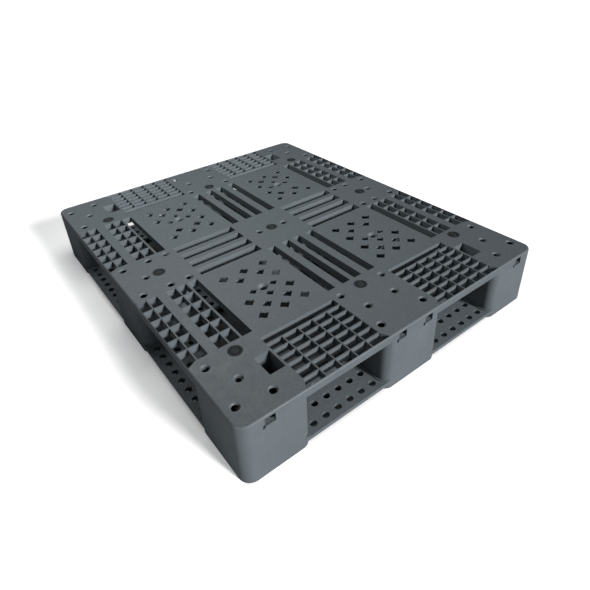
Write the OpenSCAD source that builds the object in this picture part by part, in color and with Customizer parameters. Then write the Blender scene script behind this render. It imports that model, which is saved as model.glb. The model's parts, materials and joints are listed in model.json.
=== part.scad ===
// Four-way plastic pallet: nine-leg top deck, perimeter bottom deck, steel
// reinforcing tubes held by end clips, and anti-slip plugs in the load face.
// Millimetres, +Z up. The origin is on the ground under the middle of the deck.

/* [Overall] */
// Length, along X
length = 1200; // [1190:10:1210]
// Width, along Y
width = 1000; // [990:10:1010]
// Height of the load face above the ground
height = 175; // [170:5:180]
// Radius of the pallet's four corners
corner_r = 30; // [28:2:30]

/* [Legs] */
// Size along X of the legs at the two ends
end_leg_x = 197; // [195:2:199]
// Size along Y of the legs at the two sides
side_leg_y = 176; // [174:2:178]
// Size of the middle legs across their row
mid_leg = 194; // [192:2:196]
// Radius of the legs' upright edges beside the fork openings
leg_r = 25; // [24:1:26]
// Wall of a leg
leg_wall = 4; // [3.5:0.5:4.5]
// Height of the joint between the legs and the feet
foot_h = 8; // [7:1:9]

/* [Deck] */
// Depth of the deck, down to the top of the fork openings
deck_h = 21; // [20:1:21]
// Thickness of the load face
skin = 4; // [3.5:0.5:4]
// Rounding along the deck's top edge
edge_r = 5; // [4:1:5]
// Thickness of the deck's outer wall
rim = 3.5; // [3.5:0.5:4]
// Thickness of the ribs between grid cells
rib = 3.4; // [3.2:0.2:3.6]

/* [Bottom deck] */
// Width of the boards
board_w = 130; // [125:5:135]
// Height of the underside of the boards above the ground
board_z = 14; // [13:1:15]
// Thickness of the boards
board_t = 11; // [10:1:12]
// Diameter of the holes in the boards
board_hole_d = 18; // [17:1:19]
// Pitch of the holes in the boards
board_pitch = 37; // [36:1:38]

/* [Reinforcement] */
// Outside size of the square steel tubes
tube = 16; // [15:1:16]
// Wall of the tubes
tube_wall = 1.5; // [1:0.5:2]

/* [Hidden] */
$fn = 48;

eps = 1;
half_l = length / 2;
half_w = width / 2;
deck_z = height - deck_h;
skin_z = height - skin;

// Edges of the fork openings
gap_x0 = mid_leg / 2;
gap_x1 = half_l - end_leg_x;
gap_y0 = mid_leg / 2;
gap_y1 = half_w - side_leg_y;

// Long slots between the plates, as [near edge, far edge] from the centre line
slots_along_x = [[8, 34], [60, 85]];
slots_along_y = [[9, 41], [58, 91]];
slot_end_x = [gap_x0 + 3, half_l - 224];
slot_end_y = [gap_y0 + 2, gap_y1 - 22];

// Grids over the openings at the two ends
end_grid_x = [half_l - 190, half_l - rim];
end_grid_y = [gap_y0 + 2.5, gap_y1 - 2];
end_slit_w = 24;
end_cols = 6;
end_rows = 5;

// Grids over the openings at the two sides
side_grid_x = [gap_x0 + 3, half_l - 222];
side_cols = 6;
side_slot_y = [gap_y1 - 2, gap_y1 + 26];
side_rows = [[32, 59], [63, 90], [116, 143], [146.5, side_leg_y - rim]];
corner_cut = 12;

// Diamond holes in the plates
dia_side = 23;
dia_small = 18;
dia_pitch = 32.3;
dia_mid = [half_l - 351, 203.5];

// Funnel in the middle of each plate
dish_r = 15;
dish_hole_r = 10;
dish_d = 6;

// Round drain holes and the chamfer at their mouths
drain_r = 8.5;
drain_mouth_r = 12;
drain_corner = [[188, 33], [57, 28], [45, 112], [117, 74]];
drain_end_mid = [[188, 74], [45, 74], [115, 47]];
drain_side_mid = [[77, 167], [76, 112], [74, 34]];
drain_on_tube_x = 484;

// Anti-slip plugs
plug_x = half_l - 192;
plug_y = half_w - 112;
plug_r = 18;
plug_head = 3;
plug_stem_r = 12;
plug_len = 16;
fit = 0.2;

// Deep pocket beside each end grid
pocket = [63, 41, 70];
pocket_x = half_l - 113.5;
pocket_wall = 3;

// Reinforcing tubes and the windows that they go in through
tube_y = [46.5, half_w - 73];
tube_gap = 0.6;
tube_z = skin_z - tube_gap - tube;
tube_bore = tube - 2 * tube_wall;
tube_len = length - 24;
window = [26, 21];
window_z = height - 29;
notch = [6, 10];
clip_t = 4.5;

// Boards, and the roots that join them to the feet inside the legs
core_gap = 0.3;
core_wall = 4;
board_top = board_z + board_t;
root_w = 80;
root_gap = 0.4;
hole_rows = [23, 65, 107];
lip_w = 3.6;
lip_h = 3;
leg_rib = 3;
leg_rib_z = 50;
leg_rib_y = half_w - 104;
hook_w = 14;

function leg_x(ix) = ix * (half_l - end_leg_x / 2);
function leg_y(iy) = iy * (half_w - side_leg_y / 2);
function leg_sx(ix) = ix == 0 ? mid_leg : end_leg_x;
function leg_sy(iy) = iy == 0 ? mid_leg : side_leg_y;
function board_x(ix) = ix * (half_l - board_w / 2);
function board_y(iy) = iy * (half_w - board_w / 2);
function root_x(ix) = ix * (half_l - 85);
function root_y(iy) = iy * (half_w - 80);

// ---- Shapes that repeat ----

module rounded_rect(sx, sy, r) {
  square([sx - 2 * r, sy], center = true);
  square([sx, sy - 2 * r], center = true);
  for (x = [-1, 1], y = [-1, 1]) {
    translate([x * (sx / 2 - r), y * (sy / 2 - r)]) circle(r);
  }
}

// A block from low corner a to high corner b
module span_box(a, b) {
  translate(a) cube(b - a);
}

// The same block in all four quarters of the deck
module in_quarters(x, y, z) {
  for (sx = [-1, 1], sy = [-1, 1]) {
    span_box(
      [sx > 0 ? x[0] : -x[1], sy > 0 ? y[0] : -y[1], z[0]],
      [sx > 0 ? x[1] : -x[0], sy > 0 ? y[1] : -y[0], z[1]]
    );
  }
}

// A quarter of a leg's outline, reaching a little past the leg's centre lines
module leg_quarter(hx, hy, r) {
  translate([-eps, -eps]) square([hx - r + eps, hy + eps]);
  translate([-eps, -eps]) square([hx + eps, hy - r + eps]);
  translate([hx - r, hy - r]) circle(r);
}

module leg_outline(ix, iy, grow = 0) {
  for (x = [-1, 1], y = [-1, 1]) {
    r = (ix == x && iy == y ? corner_r : leg_r) + grow;
    translate([leg_x(ix), leg_y(iy)]) mirror([x < 0 ? 1 : 0, 0, 0]) mirror([0, y < 0 ? 1 : 0, 0])
      leg_quarter(leg_sx(ix) / 2 + grow, leg_sy(iy) / 2 + grow, r);
  }
}

module each_leg_outline(grow = 0) {
  for (ix = [-1:1], iy = [-1:1]) {
    leg_outline(ix, iy, grow);
  }
}

module leg_prisms(z0, z1, grow = 0) {
  for (ix = [-1:1], iy = [-1:1]) {
    translate([0, 0, z0]) linear_extrude(z1 - z0) leg_outline(ix, iy, grow);
  }
}

// ---- Top deck ----

module edge_section(w) {
  translate([-w / 2, 0]) square([w, deck_h - edge_r]);
  translate([-w / 2 + edge_r, 0]) square([w - 2 * edge_r, deck_h]);
  for (s = [-1, 1]) {
    translate([s * (w / 2 - edge_r), deck_h - edge_r]) circle(edge_r);
  }
}

module corner_section() {
  square([corner_r, deck_h - edge_r]);
  square([corner_r - edge_r, deck_h]);
  translate([corner_r - edge_r, deck_h - edge_r]) circle(edge_r);
}

module deck_slab() {
  translate([0, 0, deck_z]) {
    translate([-half_l + corner_r, 0, 0])
      rotate([90, 0, 90]) linear_extrude(length - 2 * corner_r) edge_section(width);
    translate([0, half_w - corner_r, 0])
      rotate([90, 0, 0]) linear_extrude(width - 2 * corner_r) edge_section(length);
    for (x = [-1, 1], y = [-1, 1]) {
      translate([x * (half_l - corner_r), y * (half_w - corner_r), 0]) rotate_extrude() corner_section();
    }
  }
}

// Hollows under the plates, which leave a lattice of ribs
module plate_hollows() {
  rib_x = [gap_x0 + 4.5, for (i = [-2.5, -0.5, 1.5, 3.5]) dia_mid[0] + i * dia_pitch, half_l - 191.5];
  rib_y = [gap_y0 + 2.5, for (j = [-1.5, 0.5, 2.5]) dia_mid[1] + j * dia_pitch, gap_y1 - 3.5];
  for (i = [0:len(rib_x) - 2], j = [0:len(rib_y) - 2]) {
    in_quarters(
      [rib_x[i] + rib / 2, rib_x[i + 1] - rib / 2],
      [rib_y[j] + rib / 2, rib_y[j + 1] - rib / 2],
      [deck_z - eps, skin_z]
    );
  }
}

module leg_ribs() {
  for (ix = [-1:1], iy = [-1:1]) {
    mid_z = (leg_rib_z + skin_z) / 2;
    translate([leg_x(ix), iy * leg_rib_y, mid_z])
      cube([leg_sx(ix) - leg_wall, leg_rib, skin_z - leg_rib_z], center = true);
    translate([leg_x(ix), leg_y(iy), mid_z])
      cube([leg_rib, leg_sy(iy) - leg_wall, skin_z - leg_rib_z], center = true);
  }
}

// Pads inside the legs that the bottom deck's hooks catch on
module hook_pads() {
  for (ix = [-1:1], iy = [-1:1], s = [-1, 1]) {
    translate([leg_x(ix) + s * (leg_sx(ix) / 2 - leg_wall), root_y(iy), board_top + 9])
      cube([4, hook_w, 12], center = true);
  }
}

module each_plug() {
  for (ix = [-1:1], iy = [-1:1]) {
    translate([ix * plug_x, iy * plug_y, 0]) children();
  }
}

module plug_bosses() {
  each_plug() translate([0, 0, height - plug_len - 2]) cylinder(r = plug_r + 4, h = plug_len);
}

module plug_seats() {
  each_plug() {
    translate([0, 0, height - plug_head]) cylinder(r = plug_r + fit, h = plug_head + eps);
    translate([0, 0, height - plug_len - eps]) cylinder(r = plug_stem_r + fit, h = plug_len);
  }
}

module pocket_shells() {
  in_quarters(
    [pocket_x - pocket[0] / 2 - pocket_wall, pocket_x + pocket[0] / 2 + pocket_wall],
    [gap_y1 + 1, gap_y1 + leg_wall + pocket[1] + pocket_wall],
    [height - pocket[2] - pocket_wall, skin_z]
  );
}

module pocket_hollows() {
  in_quarters(
    [pocket_x - pocket[0] / 2, pocket_x + pocket[0] / 2],
    [gap_y1 + leg_wall, gap_y1 + leg_wall + pocket[1]],
    [height - pocket[2], height + eps]
  );
}

module through(x, y) {
  in_quarters(x, y, [deck_z - eps, height + eps]);
}

module cross_slots() {
  for (s = slots_along_x) {
    through(slot_end_x, s);
  }
  for (s = slots_along_y) {
    through(s, slot_end_y);
  }
}

module end_grids() {
  first = end_grid_x[0] + end_slit_w + rib;
  col = (end_grid_x[1] - first + rib) / end_cols;
  row = (end_grid_y[1] - end_grid_y[0] + rib) / end_rows;
  through([end_grid_x[0], end_grid_x[0] + end_slit_w], end_grid_y);
  for (i = [0:end_cols - 1], j = [0:end_rows - 1]) {
    x = first + i * col;
    y = end_grid_y[0] + j * row;
    through([x, x + col - rib], [y, y + row - rib]);
  }
}

module side_grids() {
  col = (side_grid_x[1] - side_grid_x[0] + rib) / side_cols;
  through(side_grid_x, side_slot_y);
  for (r = side_rows, i = [0:side_cols - 1]) {
    x = side_grid_x[0] + i * col;
    through([x, x + col - rib], [gap_y1 + r[0], gap_y1 + r[1]]);
  }
}

// The outermost cells reach out along the legs' rounded edges
module corner_cuts() {
  row_y = gap_y1 + side_rows[3][0];
  outer_y = half_w - rim;
  outer_x = half_l - rim;
  col_x = outer_x - 23;
  for (sx = [0, 1], sy = [0, 1]) {
    mirror([sx, 0, 0]) mirror([0, sy, 0]) translate([0, 0, deck_z - eps]) linear_extrude(deck_h + 2 * eps) {
      polygon([[side_grid_x[1] - 1, row_y], [side_grid_x[1] - 1, outer_y], [side_grid_x[1] + corner_cut, outer_y]]);
      polygon([[side_grid_x[0] + 1, row_y], [side_grid_x[0] + 1, outer_y], [side_grid_x[0] - corner_cut, outer_y]]);
      polygon([[col_x, end_grid_y[1] - 1], [outer_x, end_grid_y[1] - 1], [outer_x, end_grid_y[1] + corner_cut]]);
      polygon([[col_x, end_grid_y[0] + 1], [outer_x, end_grid_y[0] + 1], [outer_x, end_grid_y[0] - corner_cut]]);
    }
  }
}

module diamond(x, y, side) {
  for (sx = [-1, 1], sy = [-1, 1]) {
    translate([sx * x, sy * y, height - skin / 2])
      rotate([0, 0, 45]) cube([side, side, skin + 2 * eps], center = true);
  }
}

// Five staggered rows; the middle of the pattern makes room for the funnel
module diamonds() {
  for (j = [-2:2]) {
    even = j % 2 == 0;
    for (i = even ? [-3, -1, 1, 3] : [-2, 0, 2]) {
      left_out = (j == 2 || j == 0) && i == -1;
      beside = (j == 0 && i == 1) || (!even && i == 0);
      if (!left_out) {
        diamond(dia_mid[0] + i * dia_pitch, dia_mid[1] + j * dia_pitch, beside ? dia_small : dia_side);
      }
    }
  }
}

module countersunk(r, mouth_r, depth) {
  translate([0, 0, height - depth - eps]) cylinder(r = r, h = depth + 2 * eps);
  translate([0, 0, height - (mouth_r - r)]) cylinder(r1 = r, r2 = mouth_r + eps, h = mouth_r - r + eps);
}

module drain(x, y) {
  for (sx = x == 0 ? [1] : [-1, 1], sy = y == 0 ? [1] : [-1, 1]) {
    translate([sx * x, sy * y, 0]) countersunk(drain_r, drain_mouth_r, skin + 1);
  }
}

module drains() {
  for (p = drain_corner) {
    drain(half_l - p[0], half_w - p[1]);
  }
  for (p = drain_end_mid) {
    drain(half_l - p[0], p[1]);
  }
  for (p = drain_side_mid) {
    drain(p[0], half_w - p[1]);
  }
  drain(0, tube_y[0]);
  drain(0, tube_y[1]);
}

module each_dish() {
  for (sx = [-1, 1], sy = [-1, 1]) {
    translate([sx * dia_mid[0], sy * dia_mid[1], 0]) children();
  }
}

module dish_bosses() {
  each_dish() translate([0, 0, height - dish_d - 6]) cylinder(r = dish_r + 1, h = dish_d + 4);
}

module dishes() {
  each_dish() {
    translate([0, 0, deck_z - eps]) cylinder(r = dish_hole_r, h = deck_h + 2 * eps);
    translate([0, 0, height - dish_d]) cylinder(r1 = dish_hole_r, r2 = dish_r, h = dish_d + 0.01);
  }
}

module each_window() {
  for (end = [0, 1], side = [-1, 1], y = tube_y) {
    rotate([0, 0, 180 * end]) translate([half_l, side * y, window_z]) children();
  }
}

module tube_ways() {
  for (side = [-1, 1], y = tube_y) {
    translate([0, side * y, tube_z - tube_gap + (tube + 2 * tube_gap) / 2])
      cube([length - 2 * leg_wall + 0.2, tube + 2 * tube_gap, tube + 2 * tube_gap], center = true);
    in_x = gap_x1 - gap_x0 - 2 * leg_wall;
    for (s = [-1, 1]) {
      translate([s * (gap_x0 + gap_x1) / 2, side * y, tube_z])
        cube([in_x, tube + 2 * tube_gap, tube], center = true);
    }
  }
  each_window() {
    translate([0, 0, window[1] / 2]) cube([2 * leg_wall + 1, window[0], window[1]], center = true);
    translate([0, -window[0] / 2 - notch[0] / 2, notch[1] / 2 - 5])
      cube([2 * leg_wall + 3, notch[0] + 0.4, notch[1]], center = true);
  }
}

// Where the boards' roots pass through the walls of the legs
module root_notches(gap) {
  z0 = foot_h - (gap > 0 ? eps : 0);
  z1 = board_top + gap;
  for (s = [-1, 1]) {
    for (ix = [-1:1], y = [gap_y0 - leg_wall / 2, gap_y1 + leg_wall / 2]) {
      translate([root_x(ix), s * y, (z0 + z1) / 2]) cube([root_w + 2 * gap, leg_wall + 4, z1 - z0], center = true);
    }
    for (iy = [-1:1], x = [gap_x0 - leg_wall / 2, gap_x1 + leg_wall / 2]) {
      translate([s * x, root_y(iy), (z0 + z1) / 2]) cube([leg_wall + 4, root_w - 8 + 2 * gap, z1 - z0], center = true);
    }
  }
}

module top_deck() {
  color([0.36, 0.40, 0.41]) difference() {
    union() {
      difference() {
        union() {
          deck_slab();
          leg_prisms(foot_h, deck_z);
        }
        leg_prisms(foot_h - eps, skin_z, -leg_wall);
        plate_hollows();
        root_notches(root_gap);
      }
      leg_ribs();
      hook_pads();
      plug_bosses();
      dish_bosses();
      pocket_shells();
    }
    plug_seats();
    pocket_hollows();
    cross_slots();
    end_grids();
    side_grids();
    corner_cuts();
    diamonds();
    drains();
    dishes();
    tube_ways();
  }
}

// ---- Bottom deck ----

module board_windows() {
  x0 = board_w / 2;
  x1 = half_l - board_w;
  y1 = half_w - board_w;
  for (sx = [-1, 1], sy = [-1, 1]) {
    translate([sx * (x0 + x1) / 2, sy * (x0 + y1) / 2]) rounded_rect(x1 - x0, y1 - x0, 20);
  }
}

module board_plan() {
  difference() {
    rounded_rect(length, width, corner_r);
    board_windows();
  }
}

module boards() {
  difference() {
    board_plan();
    each_leg_outline(core_gap);
  }
}

// Raised lip round each leg, where a board meets it
module leg_lips() {
  intersection() {
    difference() {
      each_leg_outline(core_gap + lip_w);
      each_leg_outline(core_gap);
    }
    board_plan();
  }
}

module cores() {
  for (ix = [-1:1], iy = [-1:1]) {
    difference() {
      leg_outline(ix, iy, -leg_wall - core_gap);
      leg_outline(ix, iy, -leg_wall - core_gap - core_wall);
    }
  }
}

module hooks() {
  for (ix = [-1:1], iy = [-1:1], s = [0, 1]) {
    translate([leg_x(ix), root_y(iy), 0]) mirror([s, 0, 0])
      translate([leg_sx(ix) / 2 - leg_wall, hook_w / 2 - 1, board_top - 6]) rotate([90, 0, 0]) linear_extrude(hook_w - 2)
        polygon([[-6.5, 0], [-2.6, 0], [-2.6, 21.5], [-0.6, 21.5], [-3, 28], [-6.5, 28]]);
  }
}

module hole_block(cx, cy, nx, ny, px, py) {
  for (i = [0:nx - 1], j = [0:ny - 1]) {
    translate([cx + (i - (nx - 1) / 2) * px, cy + (j - (ny - 1) / 2) * py, board_z - eps])
      cylinder(d = board_hole_d, h = board_t + 2 * eps);
  }
}

module board_holes() {
  row_pitch = hole_rows[1] - hole_rows[0];
  gx = (gap_x0 + gap_x1) / 2;
  gy = (gap_y0 + gap_y1) / 2;
  nx = floor((gap_x1 - gap_x0 - board_hole_d - 20) / board_pitch) + 1;
  ny = floor((gap_y1 - gap_y0 - board_hole_d - 20) / board_pitch) + 1;
  for (s = [-1, 1], k = [-1:1]) {
    hole_block(s * gx, k * (half_w - hole_rows[1]), nx, 3, board_pitch, row_pitch);
    hole_block(k * (half_l - hole_rows[1]), s * gy, 3, ny, row_pitch, board_pitch);
  }
}

// Hollows under each foot, which leave a rim and a cross of ribs
module foot_hollows() {
  for (ix = [-1:1], iy = [-1:1], sx = [-1, 1], sy = [-1, 1]) {
    hx = leg_sx(ix) / 2 - 28;
    hy = leg_sy(iy) / 2 - 28;
    translate([leg_x(ix) + sx * (hx / 2 + 5), leg_y(iy) + sy * (hy / 2 + 5), 1.5])
      cube([hx, hy, 7], center = true);
  }
}

module bottom_deck() {
  color([0.34, 0.38, 0.39]) difference() {
    union() {
      leg_prisms(0, foot_h);
      translate([0, 0, foot_h]) linear_extrude(board_top - foot_h) cores();
      translate([0, 0, board_z]) linear_extrude(board_t) boards();
      translate([0, 0, board_top]) linear_extrude(lip_h) leg_lips();
      root_notches(0);
      hooks();
    }
    board_holes();
    foot_hollows();
  }
}

// ---- Reinforcing tubes ----

module steel_tube(y) {
  color([0.16, 0.17, 0.17]) translate([0, y, tube_z + tube / 2]) difference() {
    cube([tube_len, tube, tube], center = true);
    cube([tube_len + 2 * eps, tube - 2 * tube_wall, tube - 2 * tube_wall], center = true);
    for (x = [-drain_on_tube_x, 0, drain_on_tube_x]) {
      translate([x, 0, 0]) cylinder(r = 6.5, h = tube);
    }
  }
}

// ---- Tube clips: a face that half fills the window, a plug in the tube and a latch tab ----

module tube_clip(end, y) {
  face_x = half_l - leg_wall - 0.1;
  plug_l = 14;
  color([0.22, 0.25, 0.26]) rotate([0, 0, 180 * end]) translate([0, y, 0]) {
    translate([face_x - clip_t, 0, window_z]) rotate([90, 0, 90]) linear_extrude(clip_t)
      polygon([[-14.5, -1.5], [14.5, -1.5], [14.5, 4], [6, 6.5], [-2, 18], [-3, 22.4], [-14.5, 22.4]]);
    translate([face_x - clip_t - plug_l + 1, 0, tube_z + tube / 2])
      cube([2 * plug_l - 2, tube_bore - 1, tube_bore - 4], center = true);
    translate([face_x - 2, -window[0] / 2 - notch[0] / 2, window_z]) cube([6, notch[0] - 1, notch[1] - 1], center = true);
  }
}

// ---- Anti-slip plugs ----

module plug_section() {
  difference() {
    union() {
      square([plug_r, plug_head]);
      translate([0, plug_head]) square([plug_r - 1.5, 0.8]);
      translate([0, plug_head - plug_len]) square([plug_stem_r, plug_len]);
    }
    translate([10, plug_head - 1.2]) square([3, 4]);
  }
}

module plug(ix, iy) {
  color([0.13, 0.15, 0.16]) translate([ix * plug_x, iy * plug_y, height - plug_head])
    rotate_extrude() plug_section();
}

top_deck();
bottom_deck();
steel_tube(-tube_y[1]);  // tube_front_outer
steel_tube(-tube_y[0]);  // tube_front_inner
steel_tube(tube_y[0]);  // tube_back_inner
steel_tube(tube_y[1]);  // tube_back_outer
tube_clip(0, -tube_y[1]);  // clip_right_front_outer
tube_clip(0, -tube_y[0]);  // clip_right_front_inner
tube_clip(0, tube_y[0]);  // clip_right_back_inner
tube_clip(0, tube_y[1]);  // clip_right_back_outer
tube_clip(1, tube_y[1]);  // clip_left_front_outer
tube_clip(1, tube_y[0]);  // clip_left_front_inner
tube_clip(1, -tube_y[0]);  // clip_left_back_inner
tube_clip(1, -tube_y[1]);  // clip_left_back_outer
plug(-1, -1);  // plug_front_left
plug(0, -1);  // plug_front_middle
plug(1, -1);  // plug_front_right
plug(-1, 0);  // plug_middle_left
plug(0, 0);  // plug_centre
plug(1, 0);  // plug_middle_right
plug(-1, 1);  // plug_back_left
plug(0, 1);  // plug_back_middle
plug(1, 1);  // plug_back_right
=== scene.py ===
"""Looks for a four-way plastic pallet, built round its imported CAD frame. Metres, +Z up."""

import json
import math

import bpy
from mathutils import Matrix, Vector


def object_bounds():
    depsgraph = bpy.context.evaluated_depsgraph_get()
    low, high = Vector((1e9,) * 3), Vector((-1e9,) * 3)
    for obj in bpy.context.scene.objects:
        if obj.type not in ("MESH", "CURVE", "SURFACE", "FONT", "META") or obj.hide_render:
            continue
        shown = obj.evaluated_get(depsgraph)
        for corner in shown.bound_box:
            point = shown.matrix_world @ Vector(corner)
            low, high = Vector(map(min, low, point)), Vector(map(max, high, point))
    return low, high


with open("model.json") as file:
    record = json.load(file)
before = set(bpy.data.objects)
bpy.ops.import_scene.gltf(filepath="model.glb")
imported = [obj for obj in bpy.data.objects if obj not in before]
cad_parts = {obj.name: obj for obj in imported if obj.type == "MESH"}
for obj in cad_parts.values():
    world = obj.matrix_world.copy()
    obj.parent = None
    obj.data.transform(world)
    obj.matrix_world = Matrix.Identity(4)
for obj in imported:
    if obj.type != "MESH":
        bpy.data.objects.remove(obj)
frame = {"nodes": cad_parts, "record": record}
cad_low, cad_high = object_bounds()

# Angles are in degrees. An azimuth turns from the -Y side towards +X.

# ---- Camera ----
CAMERA_AZIMUTH = 53.96
CAMERA_ELEVATION = 31.76
CAMERA_ROLL = -2.76
CAMERA_TARGET = Vector((-0.0857, 0.1515, 0))
CAMERA_DISTANCE = 1.8165
CAMERA_NEAR = 0.05
CAMERA_FAR = 100
# Lens and sensor in millimetres, shift as a share of the frame
CAMERA_LENS = 30.26
CAMERA_SENSOR = 36
CAMERA_SHIFT_Y = -0.083

# ---- Light ----
KEY_AZIMUTH = 104
KEY_ELEVATION = 23
KEY_STRENGTH = 6.0
KEY_SOFTNESS = 12
KEY_COLOUR = (1.0, 0.975, 0.99)
SKY_COLOUR = (0.93, 0.97, 1)
SKY_STRENGTH = 0.15
BACKDROP_COLOUR = (1, 1, 1)
BACKDROP_STRENGTH = 1.0
# Soft panels: name, place, the point that each faces, side and power in watts
PANELS = (
    ("deck_panel", (-0.40, -0.20, 1.1), (-0.36, -0.20, 0.17), 0.7, 8.2),
    ("edge_panel", (0.40, 0.08, 0.62), (0.40, 0.08, 0.17), 0.3, 0.42),
    ("corner_panel", (0.66, -0.85, 0.09), (0.58, -0.5, 0.10), 0.14, 0.36),
)

# ---- Floor ----
FLOOR_DROP = 0.0005
FLOOR_SIZE = 40
# The floor's look to the camera, and the dimmer one that its bounced light has
FLOOR_PALE = (0.95, 0.95, 0.95)
FLOOR_BOUNCE = (0.22, 0.23, 0.24)
FLOOR_GLOW = 0.25
# Painted shade under the object, fading out over the inset to nothing at the outline
FLOOR_PAINTED_SHADE = (0.045, 0.049, 0.049)
SHADE_INSET = 0.030

# ---- Edges ----
WELD = 0.00002
EDGE_DECK = 0.0007
EDGE_SMALL = 0.0004
EDGE_SEGMENTS = 2
# Edges that turn more than the first angle are rounded, and only those under the second shade smooth
ROUND_ABOVE = 32
SMOOTH_BELOW = 19
# A face whose normal rises more than this lies level
LEVEL = 0.9999

# Shades are shares of the record's base colour, and strengths are how far a layer covers it.
# Roughness runs between its two values in soft patches.

# ---- Plastic ----
PLASTIC_ROUGHNESS = (0.47, 0.63)
CLIP_ROUGHNESS = (0.43, 0.59)
PLASTIC_SPECULAR = 0.28
CLOUD_SHADES = (0.90, 1.08)
STREAK_SHADE = 1.16
STREAK_STRENGTH = 0.30
GRAIN_SHADE = 0.60
GRAIN_STRENGTH = 0.10
# Painted shade on faces that look up, as a share of the base colour; the boards under the deck get
# none
TOP_PAINTED_SHADE = 0.74
TOP_PAINTED_SHADE_BOARDS = 1.0
TOP_GRAIN = 0.14
TOP_STRENGTH = 0.85
# Painted shade in holes and tight corners, as a share of the base colour
HOLE_PAINTED_SHADE = 0.18
# How far a wall shelters the plastic beside it for that painted shade, and how closely that is
# sampled
HOLE_DEPTH = 0.022
HOLE_SAMPLES = 8

# ---- Rubber and painted steel ----
RUBBER_ROUGHNESS = (0.66, 0.86)
RUBBER_SPECULAR = 0.2
RUBBER_DUST_SHADE = 1.9
RUBBER_DUST_STRENGTH = 0.3
STEEL_ROUGHNESS = (0.42, 0.6)
STEEL_DUST_SHADE = 2.2
STEEL_DUST_STRENGTH = 0.35


def direction(azimuth, elevation):
    """The unit vector from the object towards a place in the sky."""
    azimuth, elevation = math.radians(azimuth), math.radians(elevation)
    return Vector((
        math.sin(azimuth) * math.cos(elevation),
        -math.cos(azimuth) * math.cos(elevation),
        math.sin(elevation),
    ))


def make_camera():
    back = direction(CAMERA_AZIMUTH, CAMERA_ELEVATION)
    right = Vector((0, 0, 1)).cross(back).normalized()
    up = back.cross(right)
    roll = math.radians(CAMERA_ROLL)
    across = right * math.cos(roll) + up * math.sin(roll)
    upward = up * math.cos(roll) - right * math.sin(roll)
    data = bpy.data.cameras.new("camera")
    data.lens = CAMERA_LENS
    data.sensor_width = CAMERA_SENSOR
    data.shift_y = CAMERA_SHIFT_Y
    data.clip_start = CAMERA_NEAR
    data.clip_end = CAMERA_FAR
    camera = bpy.data.objects.new("camera", data)
    bpy.context.scene.collection.objects.link(camera)
    turn = Matrix((across, upward, back)).transposed().to_4x4()
    camera.matrix_world = Matrix.Translation(CAMERA_TARGET + back * CAMERA_DISTANCE) @ turn
    bpy.context.scene.camera = camera


def add_light(name, kind, energy, back):
    """A light that shines away from the direction called back."""
    data = bpy.data.lights.new(name, kind)
    data.energy = energy
    light = bpy.data.objects.new(name, data)
    light.rotation_mode = "QUATERNION"
    light.rotation_quaternion = back.to_track_quat("Z", "Y")
    bpy.context.scene.collection.objects.link(light)
    return light


def make_key():
    key = add_light("key", "SUN", KEY_STRENGTH, direction(KEY_AZIMUTH, KEY_ELEVATION))
    key.data.angle = math.radians(KEY_SOFTNESS)
    key.data.color = KEY_COLOUR


def make_panels():
    for name, place, faces, side, watts in PANELS:
        panel = add_light(name, "AREA", watts, Vector(place) - Vector(faces))
        panel.location = place
        panel.data.size = side
        panel.visible_camera = False


def make_world():
    """A white backdrop to the camera, and a dim sky to everything else."""
    world = bpy.data.worlds.new("studio")
    world.use_nodes = True
    tree = world.node_tree
    tree.nodes.clear()
    output = tree.nodes.new("ShaderNodeOutputWorld")
    mix = tree.nodes.new("ShaderNodeMixShader")
    path = tree.nodes.new("ShaderNodeLightPath")
    tree.links.new(path.outputs["Is Camera Ray"], mix.inputs[0])
    looks = ((SKY_COLOUR, SKY_STRENGTH), (BACKDROP_COLOUR, BACKDROP_STRENGTH))
    for socket, (colour, strength) in zip(mix.inputs[1:], looks):
        background = tree.nodes.new("ShaderNodeBackground")
        background.inputs["Color"].default_value = (*colour, 1)
        background.inputs["Strength"].default_value = strength
        tree.links.new(background.outputs[0], socket)
    tree.links.new(mix.outputs[0], output.inputs["Surface"])
    bpy.context.scene.world = world


def maths(tree, how, *values):
    """A math node. Each value is a number or another node's output."""
    node = tree.nodes.new("ShaderNodeMath")
    node.operation = how
    for socket, value in zip(node.inputs, values):
        if isinstance(value, (int, float)):
            socket.default_value = value
        else:
            tree.links.new(value, socket)
    return node.outputs[0]


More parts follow.
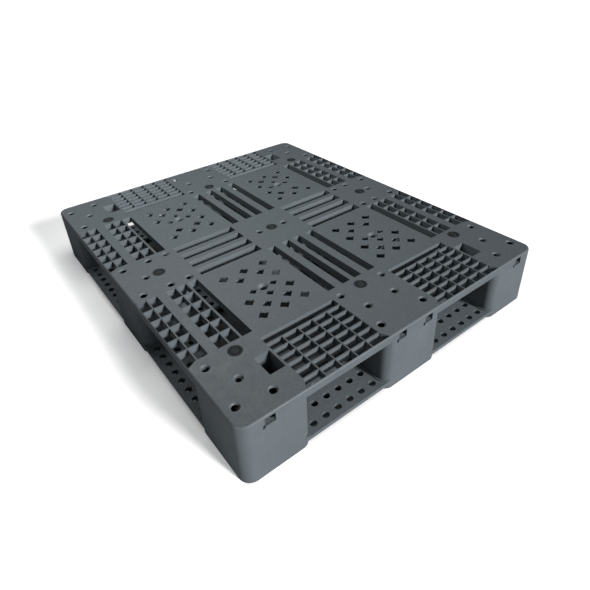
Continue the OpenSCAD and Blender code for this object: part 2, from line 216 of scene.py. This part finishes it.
class Surface:
    """A procedural material under construction. Textures run in object space, per metre."""

    def __init__(self, name):
        self.material = bpy.data.materials.new(name)
        self.material.use_nodes = True
        self.tree = self.material.node_tree
        self.shader = self.tree.nodes["Principled BSDF"]
        self.space = self.tree.nodes.new("ShaderNodeTexCoord").outputs["Object"]

    def set(self, **values):
        for socket, value in values.items():
            self.shader.inputs[socket.replace("_", " ")].default_value = value

    def link(self, value, socket):
        self.tree.links.new(value, self.shader.inputs[socket])

    def maths(self, how, *values):
        return maths(self.tree, how, *values)

    def times(self, value, strength):
        return self.maths("MULTIPLY", value, strength)

    def stretched(self, scale):
        mapping = self.tree.nodes.new("ShaderNodeMapping")
        mapping.inputs["Scale"].default_value = scale
        self.tree.links.new(self.space, mapping.inputs["Vector"])
        return mapping.outputs["Vector"]

    def noise(self, scale, detail=3, rough=0.5, stretch=None):
        texture = self.tree.nodes.new("ShaderNodeTexNoise")
        texture.inputs["Scale"].default_value = scale
        texture.inputs["Detail"].default_value = detail
        texture.inputs["Roughness"].default_value = rough
        vector = self.stretched(stretch) if stretch else self.space
        self.tree.links.new(vector, texture.inputs["Vector"])
        return texture.outputs["Fac"]

    def spread(self, value, low=0.0, high=1.0, start=0.3, end=0.7):
        """low where the value is at start or under it, high where it is at end or over it."""
        node = self.tree.nodes.new("ShaderNodeMapRange")
        node.inputs["From Min"].default_value = start
        node.inputs["From Max"].default_value = end
        node.inputs["To Min"].default_value = low
        node.inputs["To Max"].default_value = high
        self.tree.links.new(value, node.inputs["Value"])
        return node.outputs["Result"]

    def dust(self, scale, strength):
        """Patches that reach the given strength."""
        return self.spread(self.noise(scale, detail=4), high=strength, start=0.45, end=0.75)

    def painted_shade_mask(self, distance, start=0.2, end=0.6):
        """A mask for painted shade: 0 deep in a hole or a tight corner, 1 in the open."""
        node = self.tree.nodes.new("ShaderNodeAmbientOcclusion")
        node.samples = HOLE_SAMPLES
        node.only_local = True
        node.inputs["Distance"].default_value = distance
        return self.spread(node.outputs["AO"], start=start, end=end)

    def facing_up(self, start=0.5, end=0.9):
        """1 on faces that look up, 0 on upright ones."""
        split = self.tree.nodes.new("ShaderNodeSeparateXYZ")
        geometry = self.tree.nodes.new("ShaderNodeNewGeometry")
        self.tree.links.new(geometry.outputs["Normal"], split.inputs[0])
        return self.spread(split.outputs["Z"], start=start, end=end)

    def blend(self, amount, a, b):
        """a where the amount is 0, b where it is 1."""
        node = self.tree.nodes.new("ShaderNodeMix")
        node.data_type = "RGBA"
        self.tree.links.new(amount, node.inputs["Factor"])
        for socket, value in ((node.inputs[6], a), (node.inputs[7], b)):
            if isinstance(value, tuple):
                socket.default_value = (*value, 1)
            else:
                self.tree.links.new(value, socket)
        return node.outputs[2]

    def colour(self, value):
        self.link(value, "Base Color")

    def roughness(self, value):
        self.link(value, "Roughness")

    def bump(self, *layers):
        """Each layer is (height, strength, distance), from the coarsest to the finest."""
        normal = None
        for height, strength, distance in layers:
            node = self.tree.nodes.new("ShaderNodeBump")
            node.inputs["Strength"].default_value = strength
            node.inputs["Distance"].default_value = distance
            self.tree.links.new(height, node.inputs["Height"])
            if normal:
                self.tree.links.new(normal, node.inputs["Normal"])
            normal = node.outputs["Normal"]
        self.link(normal, "Normal")


def make_floor():
    """A plain pale floor, with shade painted into its colour where the object stands over it."""
    bpy.ops.mesh.primitive_plane_add(size=FLOOR_SIZE, location=(0, 0, -FLOOR_DROP))
    floor = bpy.context.object
    floor.name = "floor"
    s = Surface("pale_floor")
    split = s.tree.nodes.new("ShaderNodeSeparateXYZ")
    s.tree.links.new(s.space, split.inputs[0])
    past = [
        s.maths("SUBTRACT", s.maths("ABSOLUTE", split.outputs[axis]), cad_high[axis])
        for axis in (0, 1)
    ]
    # 0 under the object, where the floor's colour holds painted shade, and 1 outside it
    outside = s.spread(s.maths("MAXIMUM", *past), start=-SHADE_INSET, end=0.0)
    seen = s.tree.nodes.new("ShaderNodeLightPath").outputs["Is Camera Ray"]
    s.colour(s.blend(outside, FLOOR_PAINTED_SHADE, s.blend(seen, FLOOR_BOUNCE, FLOOR_PALE)))
    s.set(Roughness=0.9, Specular_IOR_Level=0.1, Emission_Color=(1, 1, 1, 1))
    s.link(s.times(s.times(outside, seen), FLOOR_GLOW), "Emission Strength")
    floor.data.materials.append(s.material)


def base_colour(slot):
    for material in frame["record"]["materials"]:
        if material["slot"] == slot:
            return tuple(material["base_color"][:3])


def scaled(colour, factor):
    return tuple(c * factor for c in colour)


def moulded_plastic(slot, roughness=PLASTIC_ROUGHNESS, top=TOP_PAINTED_SHADE):
    """Polyethylene: cloudy pigment, faint flow streaks, a light orange peel and a fine grain, with
    painted shade on faces that look up and in holes and tight corners.
    """
    s = Surface(slot)
    colour = base_colour(slot)
    clouds = s.spread(s.noise(7, detail=4))
    streaks = s.spread(s.noise(1, detail=4, rough=0.6, stretch=(70, 70, 5)))
    grain = s.spread(s.noise(190, rough=0.7), start=0.35, end=0.65)
    base = s.blend(clouds, *(scaled(colour, shade) for shade in CLOUD_SHADES))
    base = s.blend(s.times(streaks, STREAK_STRENGTH), base, scaled(colour, STREAK_SHADE))
    base = s.blend(s.times(grain, GRAIN_STRENGTH), base, scaled(colour, GRAIN_SHADE))
    # Painted shade: faces that look up are darker, with the fine grain running through it
    painted_top_shades = (top * (1 - TOP_GRAIN), top * (1 + TOP_GRAIN))
    painted_top_shade_and_grain = s.blend(grain, *(scaled(colour, shade) for shade in painted_top_shades))
    base = s.blend(s.times(s.facing_up(), TOP_STRENGTH), base, painted_top_shade_and_grain)
    # Painted shade in holes and tight corners
    s.colour(s.blend(s.painted_shade_mask(HOLE_DEPTH), scaled(colour, HOLE_PAINTED_SHADE), base))
    s.roughness(s.spread(s.noise(38, detail=4), *roughness))
    orange_peel, fine_grain = s.noise(26, detail=2), s.noise(420)
    s.bump((orange_peel, 0.10, 0.0012), (fine_grain, 0.12, 0.00025))
    s.set(Specular_IOR_Level=PLASTIC_SPECULAR)
    return s.material


def anti_slip_rubber(slot):
    """Matt rubber, dusty in patches and finely pitted."""
    s = Surface(slot)
    colour = base_colour(slot)
    dust, pits = s.dust(150, RUBBER_DUST_STRENGTH), s.noise(900)
    s.colour(s.blend(dust, colour, scaled(colour, RUBBER_DUST_SHADE)))
    s.roughness(s.spread(s.noise(90), *RUBBER_ROUGHNESS))
    s.bump((pits, 0.25, 0.0003))
    s.set(Specular_IOR_Level=RUBBER_SPECULAR)
    return s.material


def painted_steel(slot):
    """Steel tube in the record's dark colour, a guessed black paint kept dark so the holes over it
    look as dark as shade: drawn streaks along X under the paint, dust and a low sheen.
    """
    s = Surface(slot)
    colour = base_colour(slot)
    drawn, speckle = s.noise(1, stretch=(6, 400, 400)), s.noise(700, detail=2)
    dust = s.dust(60, STEEL_DUST_STRENGTH)
    s.colour(s.blend(dust, colour, scaled(colour, STEEL_DUST_SHADE)))
    s.roughness(s.spread(drawn, *STEEL_ROUGHNESS))
    s.bump((drawn, 0.1, 0.0002), (speckle, 0.1, 0.0001))
    return s.material


def angle_shading():
    """A node group that shades smooth across shallow edges and sharp across the rest.

    Level faces keep their own shading right to their rim.
    """
    tree = bpy.data.node_groups.new("angle_shading", "GeometryNodeTree")
    for side in ("INPUT", "OUTPUT"):
        tree.interface.new_socket(name="Mesh", in_out=side, socket_type="NodeSocketGeometry")
    start, end = tree.nodes.new("NodeGroupInput"), tree.nodes.new("NodeGroupOutput")
    angle = tree.nodes.new("GeometryNodeInputMeshEdgeAngle").outputs["Unsigned Angle"]
    steep = maths(tree, "GREATER_THAN", angle, math.radians(SMOOTH_BELOW))
    split = tree.nodes.new("ShaderNodeSeparateXYZ")
    tree.links.new(tree.nodes.new("GeometryNodeInputNormal").outputs[0], split.inputs[0])
    level = tree.nodes.new("GeometryNodeFieldOnDomain")
    level.domain = "FACE"
    tree.links.new(maths(tree, "GREATER_THAN", split.outputs["Z"], LEVEL), level.inputs[0])
    # An edge takes the mean of its two faces, 0 or 1 each, so a rim is the one near a half
    rim = maths(tree, "COMPARE", level.outputs[0], 0.5, 0.4)
    shade = tree.nodes.new("GeometryNodeSetMeshNormal")
    shade.inputs["Remove Custom"].default_value = True
    tree.links.new(start.outputs[0], shade.inputs["Mesh"])
    tree.links.new(maths(tree, "MAXIMUM", steep, rim), shade.inputs["Edge Sharpness"])
    tree.links.new(shade.outputs["Mesh"], end.inputs[0])
    return tree


def soften_edges(piece, width):
    """Joins the faces' shared points, rounds the sharp edges a little and shades the result."""
    weld = piece.modifiers.new("weld", "WELD")
    weld.merge_threshold = WELD
    bevel = piece.modifiers.new("rounded_edges", "BEVEL")
    bevel.width = width
    bevel.segments = EDGE_SEGMENTS
    bevel.limit_method = "ANGLE"
    bevel.angle_limit = math.radians(ROUND_ABOVE)
    bevel.miter_outer = "MITER_ARC"
    piece.modifiers.new("shading", "NODES").node_group = shading


def dress(prefix, material, width):
    for name, piece in frame["nodes"].items():
        if name.startswith(prefix):
            piece.data.materials.clear()
            piece.data.materials.append(material)
            soften_edges(piece, width)


bpy.context.scene.view_settings.view_transform = "Standard"
make_camera()
make_key()
make_panels()
make_world()
make_floor()

shading = angle_shading()
dress("top_deck", moulded_plastic("deck_plastic"), EDGE_DECK)
dress("bottom_deck", moulded_plastic("board_plastic", top=TOP_PAINTED_SHADE_BOARDS), EDGE_DECK)
dress("tube", painted_steel("tube_steel"), EDGE_SMALL)
dress("clip", moulded_plastic("clip_plastic", CLIP_ROUGHNESS), EDGE_SMALL)
dress("plug", anti_slip_rubber("plug_rubber"), EDGE_SMALL)
